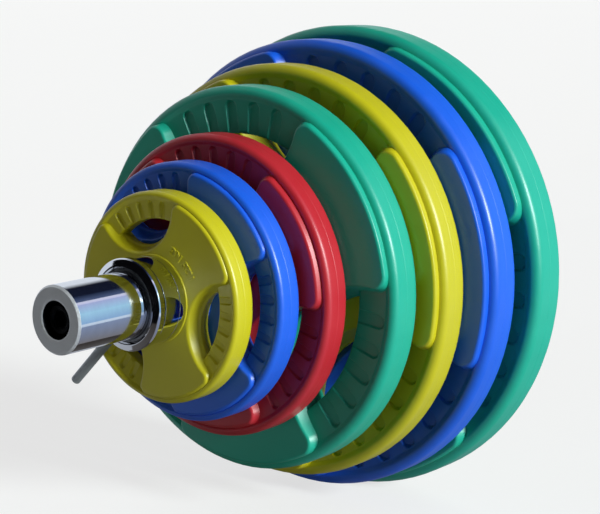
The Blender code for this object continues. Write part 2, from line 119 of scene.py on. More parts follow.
# Plates, sizes that the whole family shares
BORE_RADIUS = 0.0255
HUB_RING_WALL = 0.0042
BOSS_WALL = 0.0036  # of the rubber ring round the steel one
BOSS_OVERLAP = 0.001  # how far that ring starts inside the bore that is cut afterwards
LOBES = 3
LOBE_TOP_INSET = 0.004  # from a lobe's edge to the inner loop of its flat top
HOLE_HALF_ANGLE = math.radians(29.5)  # from a hand hole's middle to the neighbouring lobe's corner
FLANK_SLOPE = math.radians(27)
COVE_WIDTH = 0.0014  # of the cove between a lobe's flank and the lip of the hand hole
COVE_HEIGHT = 0.0016
COVE_ROUNDING = 0.004
LIP_HALF = 0.002  # half the thickness of the lip round a hand hole, on the spider's side
CORE_COVER = 0.004  # rubber over the casting
CORE_RING_SHARE = 0.4  # of the height up to the pockets' floor is the casting's ring
POCKETS = 5  # finger pockets at each hand hole
POCKET_END = 0.001  # from a pocket's outer end to the foot of the rim's band
POCKET_SPILL = 0.3  # of the sloping edge's width lies past the pocket's half width
LOBE_LIMIT = 0.75  # of the rim's rounding, which the lobes keep off the plate's edge
RIM_SHARE = 1.5  # width of the rim's band over the rim's rounding
BAND_SOFTENING = 0.5  # of the rim's rounding, at the foot and the crown of the band
EDGE_SOFTENING = 0.8  # of the rim's rounding, at the plate's edge
FOOT_SHARE = 0.5  # of the dish lies at the foot of the rim's band
PARTING_LINE = 0.0004  # half the width of the groove that the mould's joint leaves round a plate
FIGURE_HEIGHT = 0.082  # of the numbers, as a share of the plate's radius
FIGURE_TYPE_SIZE = 1.4  # type size over the height of a figure
FIGURE_INSET = 0.125  # from the waist out to the figures' feet, as a share of the plate's radius

# Facets
ROUND_STEPS = 128
SMALL_STEPS = 48
FILLET_STEPS = 5
GRIP_ROWS = 24  # across the dished grip, so that the pockets come out smooth
GRIP_STRETCH = 0.008  # only the dished grip has a plain stretch as long as this
POCKET_STATIONS = (-1.25, -1.1, -1.03, -0.97, -0.9, -0.82, -0.7, -0.5, -0.25, 0)  # in half pocket widths
POCKET_MARGIN = 1.6  # in half pocket widths, from the last pocket to the plain part of the ring
PLAIN_STEPS = 20
STRIP_STEP = 3  # degrees
SHARP_ANGLE = math.radians(32)

# Out is the world's -Y
BAR_AXIS = Matrix.Rotation(math.pi / 2, 4, "X")

# The tunnel of studio panels round the bar, which only shows in polished metal and in the rubber's sheen
TUNNEL_RADIUS = 0.9
TUNNEL_FRONT = -0.8
TUNNEL_BACK = 2.2
TUNNEL_LIFT = 0.001  # of its lowest panels above the floor
WALL_REACH = TUNNEL_RADIUS * 1.2
FLOOR_RADIUS = 60


class Strip(NamedTuple):
    """A panel of the tunnel: two clock angles in degrees, seen from the outer end, and its tones there."""

    name: str
    start: float
    end: float
    start_tone: str
    end_tone: str


STRIPS = (
    Strip("white_panel", -108, -46, "DCE4EE", "ECF3FC"),
    Strip("panel_edge", -46, -26, "ECF3FC", "161B2C"),
    Strip("dark_ceiling", -26, 12, "161B2C", "181E32"),
    Strip("window_shade", 12, 34, "1E2840", "56668C"),
    Strip("window_frame", 34, 43, "E6E8FF", "D8DCFF"),
    Strip("window_top", 43, 72, "B8C2EE", "AEDEFC"),
    Strip("window", 72, 106, "B2E4FF", "98BEE8"),
    Strip("window_sill", 106, 114, "DCEEFF", "D2E4FA"),
    Strip("ground", 114, 172, "8C9CBC", "807E82"),
    Strip("shaded_ground", 172, 215, "3C3735", "5C5A5A"),
    Strip("left_ground", 215, 252, "A8ACB4", "C0C6D0"),
)


class Plate(NamedTuple):
    """The size chart's columns, in metres.

    Diameter and thickness come from the solids. Crown inset, lobe gap and dish follow the photo more closely
    than the solids do.
    """

    name: str
    weight: str
    crown_inset: float  # from the hub's face back to the rim's crown
    rim_round: float  # radius of the rim's outer corner
    lobe_gap: float  # from a lobe's outer edge to the plate's edge
    lobe_corner: float  # radius of a lobe's corners, seen from the front
    grip_width: float  # from a hand hole to the plate's edge
    waist: float  # from the axis to the spider's edge at a hand hole
    dish: float  # how far the grip's inner lip lies below the rim's crown
    clock: float  # of one hand hole, degrees clockwise from up, seen from the outer end
    colour: str


PLATES = (
    Plate(
        "plate_1_25kg", "1.25 KG", 0.0030, 0.0040, 0.0048,
        0.0055, 0.0210, 0.0355, 0.0036, -15.4, "yellow",
    ),
    Plate(
        "plate_2_5kg", "2.5 KG", 0.0040, 0.0048, 0.0062,
        0.0065, 0.0245, 0.0445, 0.0036, -23.4, "blue",
    ),
    Plate(
        "plate_5kg", "5 KG", 0.0050, 0.0055, 0.0085,
        0.0080, 0.0290, 0.0525, 0.0035, 2.3, "red",
    ),
    Plate(
        "plate_10kg", "10 KG", 0.0065, 0.0070, 0.0066,
        0.0100, 0.0375, 0.0680, 0.0039, -3.7, "green",
    ),
    Plate(
        "plate_15kg", "15 KG", 0.0064, 0.0072, 0.0068,
        0.0110, 0.0410, 0.0745, 0.0042, 15.6, "yellow",
    ),
    Plate(
        "plate_20kg", "20 KG", 0.0072, 0.0078, 0.0074,
        0.0120, 0.0455, 0.0825, 0.0045, 21.6, "blue",
    ),
    Plate(
        "plate_25kg", "25 KG", 0.0078, 0.0085, 0.0078,
        0.0125, 0.0480, 0.0870, 0.0048, -15.4, "green",
    ),
)


def linear(hex_colour):
    """An sRGB colour such as C8CC1E as linear RGB."""
    channels = [int(hex_colour[i : i + 2], 16) / 255 for i in (0, 2, 4)]
    return [c / 12.92 if c <= 0.04045 else ((c + 0.055) / 1.055) ** 2.4 for c in channels]


def colour_property(name, hex_colour):
    """A colour setting of the panel, with its default as an sRGB colour."""
    return FloatVectorProperty(
        name=name, description=name + " of the moulded rubber", subtype="COLOR", size=3, min=0, max=1,
        default=linear(hex_colour),
    )


def length_property(name, description, default):
    """A length setting of the panel, in metres."""
    return FloatProperty(
        name=name, description=description, default=default, min=0, unit="LENGTH", precision=4
    )


def strength_property(name, description, default):
    """A light's strength as a setting of the panel."""
    return FloatProperty(name=name, description="Strength of the " + description, default=default, min=0)


class BARBELL_PG_rubber(bpy.types.PropertyGroup):
    """The plates' colours and the roundings of their moulded coats."""

    yellow: colour_property("Yellow", "D2C806")
    blue: colour_property("Blue", "0862EA")
    red: colour_property("Red", "C81E2C")
    green: colour_property("Green", "0AB496")
    lobe_rounding: length_property("Lobe rounding", "Radius of the lobes' upper edge", 0.0026)
    lip_rounding: length_property("Lip rounding", "Radius of the grip's inner lip", 0.0026)
    pocket_depth: length_property(
        "Pocket depth", "How far the pockets' flat floor lies below the lip", 0.0010
    )
    pocket_edge: length_property("Pocket edge", "Width of the pockets' sloping edge", 0.0010)
    boss_height: length_property(
        "Boss height", "Height of the ring round the bore above the lobes", 0.0010
    )
    number_height: length_property("Number height", "How far the numbers stand above the lobes", 0.0006)


class BARBELL_PG_chrome(bpy.types.PropertyGroup):
    """Roundings of the chrome pieces."""

    flange_rounding: length_property("Flange rounding", "Radius of the collar flange's outer edge", 0.0020)
    edge_break: length_property("Edge break", "Radius of the other edges", 0.0007)


class BARBELL_PG_studio(bpy.types.PropertyGroup):
    """The lights' strengths."""

    key: strength_property("Key", "key light from the right", 4.0)
    fill: strength_property("Fill", "fill light from above", 0.12)
    back: strength_property("Back", "light from the far left", 1.3)
    ambient: strength_property("Ambient", "light from all round", 0.055)


def add_node(tree, kind, inputs=None, **settings):
    """Adds a node, sets its own settings, and feeds its inputs with values or with other nodes' outputs."""
    node = tree.nodes.new(kind)
    for setting, value in settings.items():
        setattr(node, setting, value)
    for key, source in (inputs or {}).items():
        if isinstance(source, bpy.types.NodeSocket):
            tree.links.new(source, node.inputs[key])
        else:
            node.inputs[key].default_value = source
    return node


def new_material(name):
    """A material with only its Principled shader, and its tree, shader and object coordinates."""
    made = bpy.data.materials.new(name)
    made.use_nodes = True
    tree = made.node_tree
    shader = tree.nodes["Principled BSDF"]
    coordinates = add_node(tree, "ShaderNodeTexCoord").outputs["Object"]
    return made, tree, shader, coordinates


def varied(tree, source, low, high, target):
    """Spreads a noise's middle range over low to high, and feeds it to an input."""
    spread = add_node(
        tree, "ShaderNodeMapRange",
        {"Value": source, "From Min": 0.3, "From Max": 0.7, "To Min": low, "To Max": high},
    )
    tree.links.new(spread.outputs["Result"], target)


def two_tones(tree, factor, first, second, target):
    """Mixes two colours by a factor, and feeds the mix to an input."""
    mix = add_node(
        tree, "ShaderNodeMix", {0: factor, 6: [*first, 1], 7: [*second, 1]}, data_type="RGBA"
    )
    tree.links.new(mix.outputs[2], target)


def bumped(tree, height, depth, shader):
    """Lets a noise dent a surface, up to a depth in metres."""
    bump = add_node(tree, "ShaderNodeBump", {"Height": height, "Strength": 1.0, "Distance": depth})
    tree.links.new(bump.outputs["Normal"], shader.inputs["Normal"])


def moulded_rubber(name, colour):
    """Natural rubber pressed in a blasted steel tool: satin and deep in colour, with a fine grain.

    Handling leaves a slightly lighter, drier bloom in patches a few centimetres wide.
    """
    made, tree, shader, coordinates = new_material(name)
    patches = add_node(
        tree, "ShaderNodeTexNoise", {"Vector": coordinates, "Scale": 28.0, "Detail": 4.0, "Roughness": 0.6}
    )
    # Blasting leaves pits of about 0.2 mm; they are drawn 1 mm wide, or they wouldn't show.
    grain = add_node(tree, "ShaderNodeTexNoise", {"Vector": coordinates, "Scale": 1000.0, "Detail": 2.0})
    bloom = [channel * 0.94 + 0.012 for channel in colour]
    deep = [channel * 0.86 for channel in colour]
    two_tones(tree, patches.outputs["Fac"], deep, bloom, shader.inputs["Base Color"])
    varied(tree, patches.outputs["Fac"], 0.34, 0.46, shader.inputs["Roughness"])
    bumped(tree, grain.outputs["Fac"], 0.00006, shader)
    # Mould release and handling leave it a little glossier than clean rubber.
    shader.inputs["IOR"].default_value = 1.52
    shader.inputs["Specular IOR Level"].default_value = 0.6
    return made


def metal(name, hex_colour, roughness, grain_size, depth, stretch=1.0):
    """A metal with a grain. Stretch draws the grain out round the bar, as turning and polishing do."""
    made, tree, shader, coordinates = new_material(name)
    scaled = add_node(tree, "ShaderNodeMapping", {"Vector": coordinates, "Scale": (1, 1, stretch)})
    noise = add_node(
        tree, "ShaderNodeTexNoise",
        {"Vector": scaled.outputs["Vector"], "Scale": 1 / grain_size, "Detail": 3.0},
    )
    colour = linear(hex_colour)
    dull = [channel * 0.85 for channel in colour]
    two_tones(tree, noise.outputs["Fac"], dull, colour, shader.inputs["Base Color"])
    varied(tree, noise.outputs["Fac"], roughness * 0.7, roughness * 1.4, shader.inputs["Roughness"])
    bumped(tree, noise.outputs["Fac"], depth, shader)
    shader.inputs["Metallic"].default_value = 1.0
    return made


def polished_chrome():
    """Steel, ground, buffed and chrome plated: a clear mirror, hazy in patches where hands have been."""
    return metal("polished_chrome", "E2E4E8", 0.07, 0.012, 0.000003, 2.0)


def turned_chrome():
    """A lathe-cut end face with thin plating over it: pale, frosted and mottled, since nobody buffs it."""
    made = metal("turned_chrome", "E9EAEC", 0.5, 0.0018, 0.00018)
    # Scuffs and chalk on the face that stands on the floor scatter light as paint does.
    made.node_tree.nodes["Principled BSDF"].inputs["Metallic"].default_value = 0.6
    return made


def machined_steel():
    """Bright steel from the lathe with a thin film of oil: grey, with soft broad highlights."""
    return metal("machined_steel", "8F9194", 0.32, 0.002, 0.00002, 8.0)


def drawn_zinc_steel():
    """Drawn steel rod, zinc plated and handled until it went dull: mid grey with small blotches."""
    made = metal("drawn_zinc_steel", "A4A9AC", 0.5, 0.003, 0.00006)
    # The zinc's white film of oxide scatters light as paint does.
    made.node_tree.nodes["Principled BSDF"].inputs["Metallic"].default_value = 0.55
    return made


def black_oxide_steel():
    """A bolt's oiled black oxide: nearly black, with a low sheen. The recess in the sleeve's end gets it
    too, as painted shade.
    """
    return metal("black_oxide_steel", "1B1B1D", 0.4, 0.001, 0.00002)


def sand_cast_iron():
    """Grey iron from a sand mould: dark, dull and pimpled by sand of about half a millimetre."""
    return metal("sand_cast_iron", "39393A", 0.7, 0.0006, 0.0002)


def sintered_bronze():
    """Bearing bronze pressed from powder and soaked in oil: brown-gold, dull and finely porous."""
    return metal("sintered_bronze", "9C7440", 0.38, 0.0005, 0.00004)


def finish(name):
    """A finish by its name, made when it is first asked for."""
    found = bpy.data.materials.get(name)
    if found:
        return found
    if name.startswith("moulded_rubber_"):
        colour = getattr(bpy.context.scene.barbell_rubber, name.rsplit("_", 1)[1])
        return moulded_rubber(name, list(colour))
    return METALS[name]()


METALS = {
    "polished_chrome": polished_chrome,
    "turned_chrome": turned_chrome,
    "machined_steel": machined_steel,
    "drawn_zinc_steel": drawn_zinc_steel,
    "black_oxide_steel": black_oxide_steel,
    "sand_cast_iron": sand_cast_iron,
    "sintered_bronze": sintered_bronze,
}


def span(node):
    """Where a CAD node starts and ends along the bar, counted outwards."""
    low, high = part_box(node)
    return -high.y, -low.y


def reach(node):
    """How far a CAD node on the bar reaches from its axis."""
    low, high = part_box(node)
    return max(high.x, -low.x)


def object_from(name, shape):
    """Turns a bmesh into an object with its faces pointing out."""
    bmesh.ops.recalc_face_normals(shape, faces=shape.faces)
    mesh = bpy.data.meshes.new(name)
    shape.to_mesh(mesh)
    shape.free()
    obj = bpy.data.objects.new(name, mesh)
    bpy.context.scene.collection.objects.link(obj)
    return obj


def softened(corners, steps=FILLET_STEPS):
    """A closed outline of (across, along, rounding) corners, with the roundings drawn as arcs."""
    points = []
    for i, (across, along, rounding) in enumerate(corners):
        here = Vector((across, along))
        if not rounding:
            points.append(here)
            continue
        before = (Vector(corners[i - 1][:2]) - here).normalized()
        after = (Vector(corners[(i + 1) % len(corners)][:2]) - here).normalized()
        half = before.angle(after) / 2
        centre = here + (before + after).normalized() * rounding / math.sin(half)
        start = (here + before * rounding / math.tan(half) - centre).normalized()
        end = (here + after * rounding / math.tan(half) - centre).normalized()
        points += [centre + start.slerp(end, step / steps) * rounding for step in range(steps + 1)]
    return points


def turned(profile, steps=ROUND_STEPS):
    """Spins a closed profile of (radius, height) points round Z."""
    shape = bmesh.new()
    corners = [shape.verts.new((radius, 0, height)) for radius, height in profile]
    edges = [shape.edges.new((a, b)) for a, b in zip(corners, corners[1:] + corners[:1])]
    axis_edges = [edge for edge in edges if max(abs(v.co.x) for v in edge.verts) == 0]
    edges = [edge for edge in edges if edge not in axis_edges]
    bmesh.ops.delete(shape, geom=axis_edges, context="EDGES_FACES")
    bmesh.ops.spin(
        shape, geom=corners + edges, cent=(0, 0, 0), axis=(0, 0, 1), angle=2 * math.pi,
        steps=steps, use_merge=True,
    )
    bmesh.ops.remove_doubles(shape, verts=shape.verts, dist=1e-7)
    return shape


def skinned(loops, closed_rows=False):
    """Skins loops of the same number of points. Open rows get a cap at both ends."""
    shape = bmesh.new()
    rows = [[shape.verts.new(point) for point in loop] for loop in loops]
    following = rows[1:] + rows[:1] if closed_rows else rows[1:]
    for low, high in zip(rows, following):
        for i in range(len(low)):
            shape.faces.new((low[i - 1], low[i], high[i], high[i - 1]))
    if not closed_rows:
        shape.faces.new(rows[0])
        shape.faces.new(rows[-1])
    return shape


def arc(centre, radius, start, end, steps):
    """Points from start to end, in radians, both ends included."""
    turn = (end - start) / steps
    return [
        (
            centre[0] + radius * math.cos(start + turn * i),
            centre[1] + radius * math.sin(start + turn * i),
        )
        for i in range(steps + 1)
    ]


def rotated(points, angle):
    """Turns points round the origin by an angle in radians."""
    c, s = math.cos(angle), math.sin(angle)
    return [(x * c - y * s, x * s + y * c) for x, y in points]


def combined(obj, others):
    """Applies Booleans, given as (object, operation), and removes the helpers."""
    for other, operation in others:
        modifier = obj.modifiers.new(other.name, "BOOLEAN")
        modifier.operation = operation
        modifier.solver = "EXACT"
        modifier.object = other
    bpy.context.view_layer.update()
    evaluated = obj.evaluated_get(bpy.context.evaluated_depsgraph_get())
    mesh = bpy.data.meshes.new_from_object(evaluated)
    obj.modifiers.clear()
    obj.data = mesh
    for other, _ in others:
        bpy.data.objects.remove(other)
    return obj


def dressed(obj, body, node, material, out=0.0, clock=0.0):
    """Places a piece on the bar, shades it, and lets it ride on a body in place of a CAD node."""
    obj.data.transform(Matrix.Rotation(-math.radians(clock), 4, "Z"))
    obj.matrix_world = BAR_AXIS @ Matrix.Translation((0, 0, out))
    obj.data.shade_smooth()
    obj.data.set_sharp_from_angle(angle=SHARP_ANGLE)
    weighted = obj.modifiers.new("even_shading", "WEIGHTED_NORMAL")
    weighted.keep_sharp = True
    obj.data.materials.append(finish(material))
    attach(obj, body)
    if node:
        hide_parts(node)
    return obj


class PlateForm:
    """The sizes of one plate that follow from its solids and its row in the chart."""

    def __init__(self, plate):
        self.plate = plate
        low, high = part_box(plate.name + "_rubber_coat")
        self.radius = min(high.x, -low.x, high.z, -low.z)
        hub_low, hub_high = span(plate.name + "_hub_ring")
        self.middle = (hub_low + hub_high) / 2
        self.hub_half = (hub_high - hub_low) / 2
        self.lobe_top = (high.y - low.y) / 2
        self.crown = self.hub_half - plate.crown_inset
        self.lip_top = self.crown - plate.dish
        self.reach = self.radius - plate.lobe_gap
        self.foot_radius = self.radius - RIM_SHARE * plate.rim_round
        self.foot_top = self.crown - FOOT_SHARE * plate.dish
        self.hole_radius = self.radius - plate.grip_width
        self.flank = (self.lobe_top - LIP_HALF) * math.tan(FLANK_SLOPE)
        corner_x = self.reach * math.cos(HOLE_HALF_ANGLE)
        # The circle through the waist and both lobe corners scoops the spider's side out.
        self.scoop_centre = (self.reach**2 - plate.waist**2) / (2 * (corner_x - plate.waist))
        self.scoop_radius = self.scoop_centre - plate.waist

    def spider(self, grow, corner_steps=10, scoop_steps=36, reach_steps=28):
        """The outline of hub and lobes, moved out by grow. The first hand hole points up."""
        corner = self.plate.lobe_corner
        centre_line = self.reach - corner
        side = math.acos(
            (centre_line**2 + self.scoop_centre**2 - (self.scoop_radius + corner) ** 2)
            / (2 * centre_line * self.scoop_centre)
        )
        corner_at = (centre_line * math.cos(side), centre_line * math.sin(side))
        mouth = math.atan2(corner_at[1], corner_at[0] - self.scoop_centre)
        before = arc(
            (corner_at[0], -corner_at[1]), corner + grow, -side, math.pi - mouth, corner_steps
        )
        scoop = arc(
            (self.scoop_centre, 0), self.scoop_radius - grow, 2 * math.pi - mouth, mouth, scoop_steps
        )
        after = arc(corner_at, corner + grow, mouth - math.pi, side, corner_steps)
        outer = arc((0, 0), self.reach + grow, side, 2 * math.pi / LOBES - side, reach_steps)
        third = before + scoop[1:-1] + after + outer[1:-1]
        return [
            point
            for k in range(LOBES)
            for point in rotated(third, math.pi / 2 + 2 * math.pi * k / LOBES)
        ]

    def pocket_pitch(self):
        """The angle from one finger pocket to the next."""
        return 2 * HOLE_HALF_ANGLE / (POCKETS + 1)

    def pocket_middles(self):
        """The angles of the finger pockets round the plate."""
        pitch = self.pocket_pitch()
        return [
            math.pi / 2 + 2 * math.pi * k / LOBES + pitch * (j - (POCKETS - 1) / 2)
            for k in range(LOBES)
            for j in range(POCKETS)
        ]


def eased(value, low, high):
    """0 below low, 1 above high and a smooth step between."""
    share = min(max((value - low) / (high - low), 0), 1)
    return share * share * (3 - 2 * share)


def pocket_share(form, props, angle, radius):
    """1 inside a finger pocket and 0 outside: U-shaped, open to the hand hole."""
    away = min(abs(math.remainder(angle - middle, 2 * math.pi)) for middle in form.pocket_middles())
    across = away * radius
    half = form.pocket_pitch() / 4 * (form.hole_radius + form.foot_radius) / 2
    end = form.foot_radius - POCKET_END - half
    distance = across if radius < end else math.hypot(across, radius - end)
    edge = props.pocket_edge
    return 1 - eased(distance - half, -edge, edge * POCKET_SPILL)


def grip_ring(form, props):
    """The ring that the hand holds: rounded rim, dished grip and a scalloped inner lip."""
    plate = form.plate
    floor = form.lip_top - props.pocket_depth
    wall = floor - props.lip_rounding
    rounding = plate.rim_round
    front = softened([
        (form.hole_radius, wall, 0),
        (form.hole_radius, form.lip_top, props.lip_rounding),
        (form.foot_radius, form.foot_top, rounding * BAND_SOFTENING),
        (form.radius - rounding, form.crown, rounding * BAND_SOFTENING),
        (form.radius, form.crown, rounding * EDGE_SOFTENING),
        (form.radius, PARTING_LINE, 0),
        (form.radius - PARTING_LINE / 2, 0, 0),
        (form.hole_radius, 0, 0),
    ])[:-1]
    rows = []
    for here, following in zip(front, front[1:] + [None]):
        rows.append(here)
        on_grip = here.x < form.foot_radius and here.y > wall
        if following and (following - here).length > GRIP_STRETCH and on_grip:
            rows += [here.lerp(following, i / GRIP_ROWS) for i in range(1, GRIP_ROWS)]
    back = [Vector((point.x, -point.y)) for point in reversed(front[:-1])]
    half_width = form.pocket_pitch() / 4
    offsets = [station * half_width for station in POCKET_STATIONS]
    offsets += [-offset for offset in offsets[:-1]]
    middles = form.pocket_middles()
    angles = {round(middle + offset, 6) for middle in middles for offset in offsets}
    for k in range(LOBES):
        start = middles[k * POCKETS + POCKETS - 1] + POCKET_MARGIN * half_width
        end = middles[((k + 1) % LOBES) * POCKETS] - POCKET_MARGIN * half_width
        end += 2 * math.pi * (end < start)
        angles |= {round(start + (end - start) * i / PLAIN_STEPS, 6) for i in range(PLAIN_STEPS + 1)}
    loops = []
    for angle in sorted(angles, key=lambda value: value % (2 * math.pi)):
        loop = []
        for point in rows:
            height = point.y
            if height > floor and point.x < form.foot_radius:
                height += (floor - height) * pocket_share(form, props, angle, point.x)
            loop.append((point.x * math.cos(angle), point.x * math.sin(angle), height))
        loop += [(point.x * math.cos(angle), point.x * math.sin(angle), point.y) for point in back]
        loops.append(loop)
    return object_from(plate.name + "_rubber", skinned(loops, closed_rows=True))


def within(point, limit):
    """Pulls a point back to a circle that it lies outside."""
    share = min(1, limit / math.hypot(*point))
    return point[0] * share, point[1] * share


def lobes(form, props):
    """Hub and lobes: flat tops with rounded edges, coved flanks and a rolled lip at the holes."""
    half = [
        (0, form.lobe_top, props.lobe_rounding),
        (form.flank - COVE_WIDTH, LIP_HALF + COVE_HEIGHT, COVE_ROUNDING),
        (form.flank, LIP_HALF, LIP_HALF * 0.7),
    ]
    section = [(-LOBE_TOP_INSET, form.lobe_top, 0)] + half
    section += [(across, -along, rounding) for across, along, rounding in reversed(section)]
    points = softened(section)
    limit = form.radius - LOBE_LIMIT * form.plate.rim_round
    loops = [[(*within(edge, limit), point.y) for edge in form.spider(point.x)] for point in points]
    return object_from(form.plate.name + "_lobes", skinned(loops))


def bore_cutter(name, radius, deep):
    """A plug that cuts a bore through, from deep on one side to deep on the other."""
    return object_from(name, turned([(0, deep), (radius, deep), (radius, -deep), (0, -deep)]))


def rubber_coat(plate, props):
    """The moulded coat: grip ring, lobes and a low boss round the bore."""
    form = PlateForm(plate)
    seat = BORE_RADIUS + HUB_RING_WALL + GAP
    top = form.lobe_top + props.boss_height
    boss_edge = props.boss_height * 0.9
    boss_radius = seat + BOSS_WALL
    boss = softened([
        (seat - BOSS_OVERLAP, top, 0), (boss_radius, top, boss_edge), (boss_radius, -top, boss_edge),
        (seat - BOSS_OVERLAP, -top, 0),
    ])
    ring = grip_ring(form, props)
    combined(ring, [
        (lobes(form, props), "UNION"),
        (object_from(plate.name + "_boss", turned(boss)), "UNION"),
        (bore_cutter(plate.name + "_bore", seat, form.hub_half * 2), "DIFFERENCE"),
    ])
    dressed(
        ring, plate.name, plate.name + "_rubber_coat", "moulded_rubber_" + plate.colour,
        form.middle, plate.clock,
    )


def iron_casting(plate, props):
    """The cast weight inside the coat: a spider and a ring with a bevelled edge."""
    form = PlateForm(plate)
    top = form.lobe_top - CORE_COVER
    half = CORE_RING_SHARE * (form.lip_top - props.pocket_depth)
    inner, outer = form.hole_radius + CORE_COVER, form.radius - CORE_COVER
    spider = [[(*edge, height) for edge in form.spider(-CORE_COVER)] for height in (top, -top)]
    ring = softened([
        (inner, half, half / 2), (outer, half, half / 2),
        (outer, -half, half / 2), (inner, -half, half / 2),
    ])
    seat = BORE_RADIUS + HUB_RING_WALL + GAP
    casting = object_from(plate.name + "_casting", skinned(spider))
    combined(casting, [
        (object_from(plate.name + "_ring_casting", turned(ring)), "UNION"),
        (bore_cutter(plate.name + "_cored_bore", seat, top * 2), "DIFFERENCE"),
    ])
    dressed(
        casting, plate.name, plate.name + "_iron_core", "sand_cast_iron", form.middle,
        plate.clock,
    )


def weight_number(plate, props):
    """The plate's weight in raised figures on one lobe, in an arc with their tops towards the hub."""
    form = PlateForm(plate)
    height = form.radius * FIGURE_HEIGHT
    text = bpy.data.curves.new(plate.name + "_figures", "FONT")
    text.body = plate.weight
    text.size = height * FIGURE_TYPE_SIZE
    text.align_x = "CENTER"
    text.extrude = props.number_height
    text.bevel_depth = props.number_height / 3
    text.bevel_resolution = 1
    writing = bpy.data.objects.new(plate.name + "_figures", text)
    bpy.context.scene.collection.objects.link(writing)
    bpy.context.view_layer.update()
    evaluated = writing.evaluated_get(bpy.context.evaluated_depsgraph_get())
    mesh = bpy.data.meshes.new_from_object(evaluated)
    bpy.data.objects.remove(writing)
    line = plate.waist + form.radius * FIGURE_INSET
    for vertex in mesh.vertices:
        turn = math.pi / 2 + vertex.co.x / (line - height / 2)
        radius = line - vertex.co.y
        vertex.co = (radius * math.cos(turn), radius * math.sin(turn), vertex.co.z)
    figures = bpy.data.objects.new(plate.name + "_number", mesh)
    bpy.context.scene.collection.objects.link(figures)
    dressed(
        figures, plate.name, None, "moulded_rubber_" + plate.colour,
        form.middle + form.lobe_top, plate.clock + 180 / LOBES,
    )


def round_piece(name, corners, body, node, material, steps=ROUND_STEPS):
    """A turned piece. Its corners are (radius, out, rounding)."""
    return dressed(object_from(name, turned(softened(corners), steps)), body, node, material)


def simple_ring(name, inner, body, node, material, edge, outer=None):
    """A plain ring between a CAD node's ends, its outer edges rounded more than its inner ones."""
    low, high = span(node)
    outer = outer or reach(node)
    return round_piece(
        name,
        [(inner, low, edge / 2), (inner, high, edge / 2), (outer, high, edge), (outer, low, edge)],
        body, node, material,
    )


class BARBELL_OT_grip_plates(bpy.types.Operator):
    """Builds the plates' castings, rubber coats, numbers and the steel rings in their bores."""

    bl_idname = "barbell.grip_plates"
    bl_label = "Grip plates"

    def execute(self, context):
        props = context.scene.barbell_rubber
        edge = context.scene.barbell_chrome.edge_break
        for plate in PLATES:
            iron_casting(plate, props)
            rubber_coat(plate, props)
            weight_number(plate, props)
            simple_ring(
                plate.name + "_bore_ring", BORE_RADIUS, plate.name, plate.name + "_hub_ring",
                "machined_steel", edge, BORE_RADIUS + HUB_RING_WALL,
            )
        return {"FINISHED"}


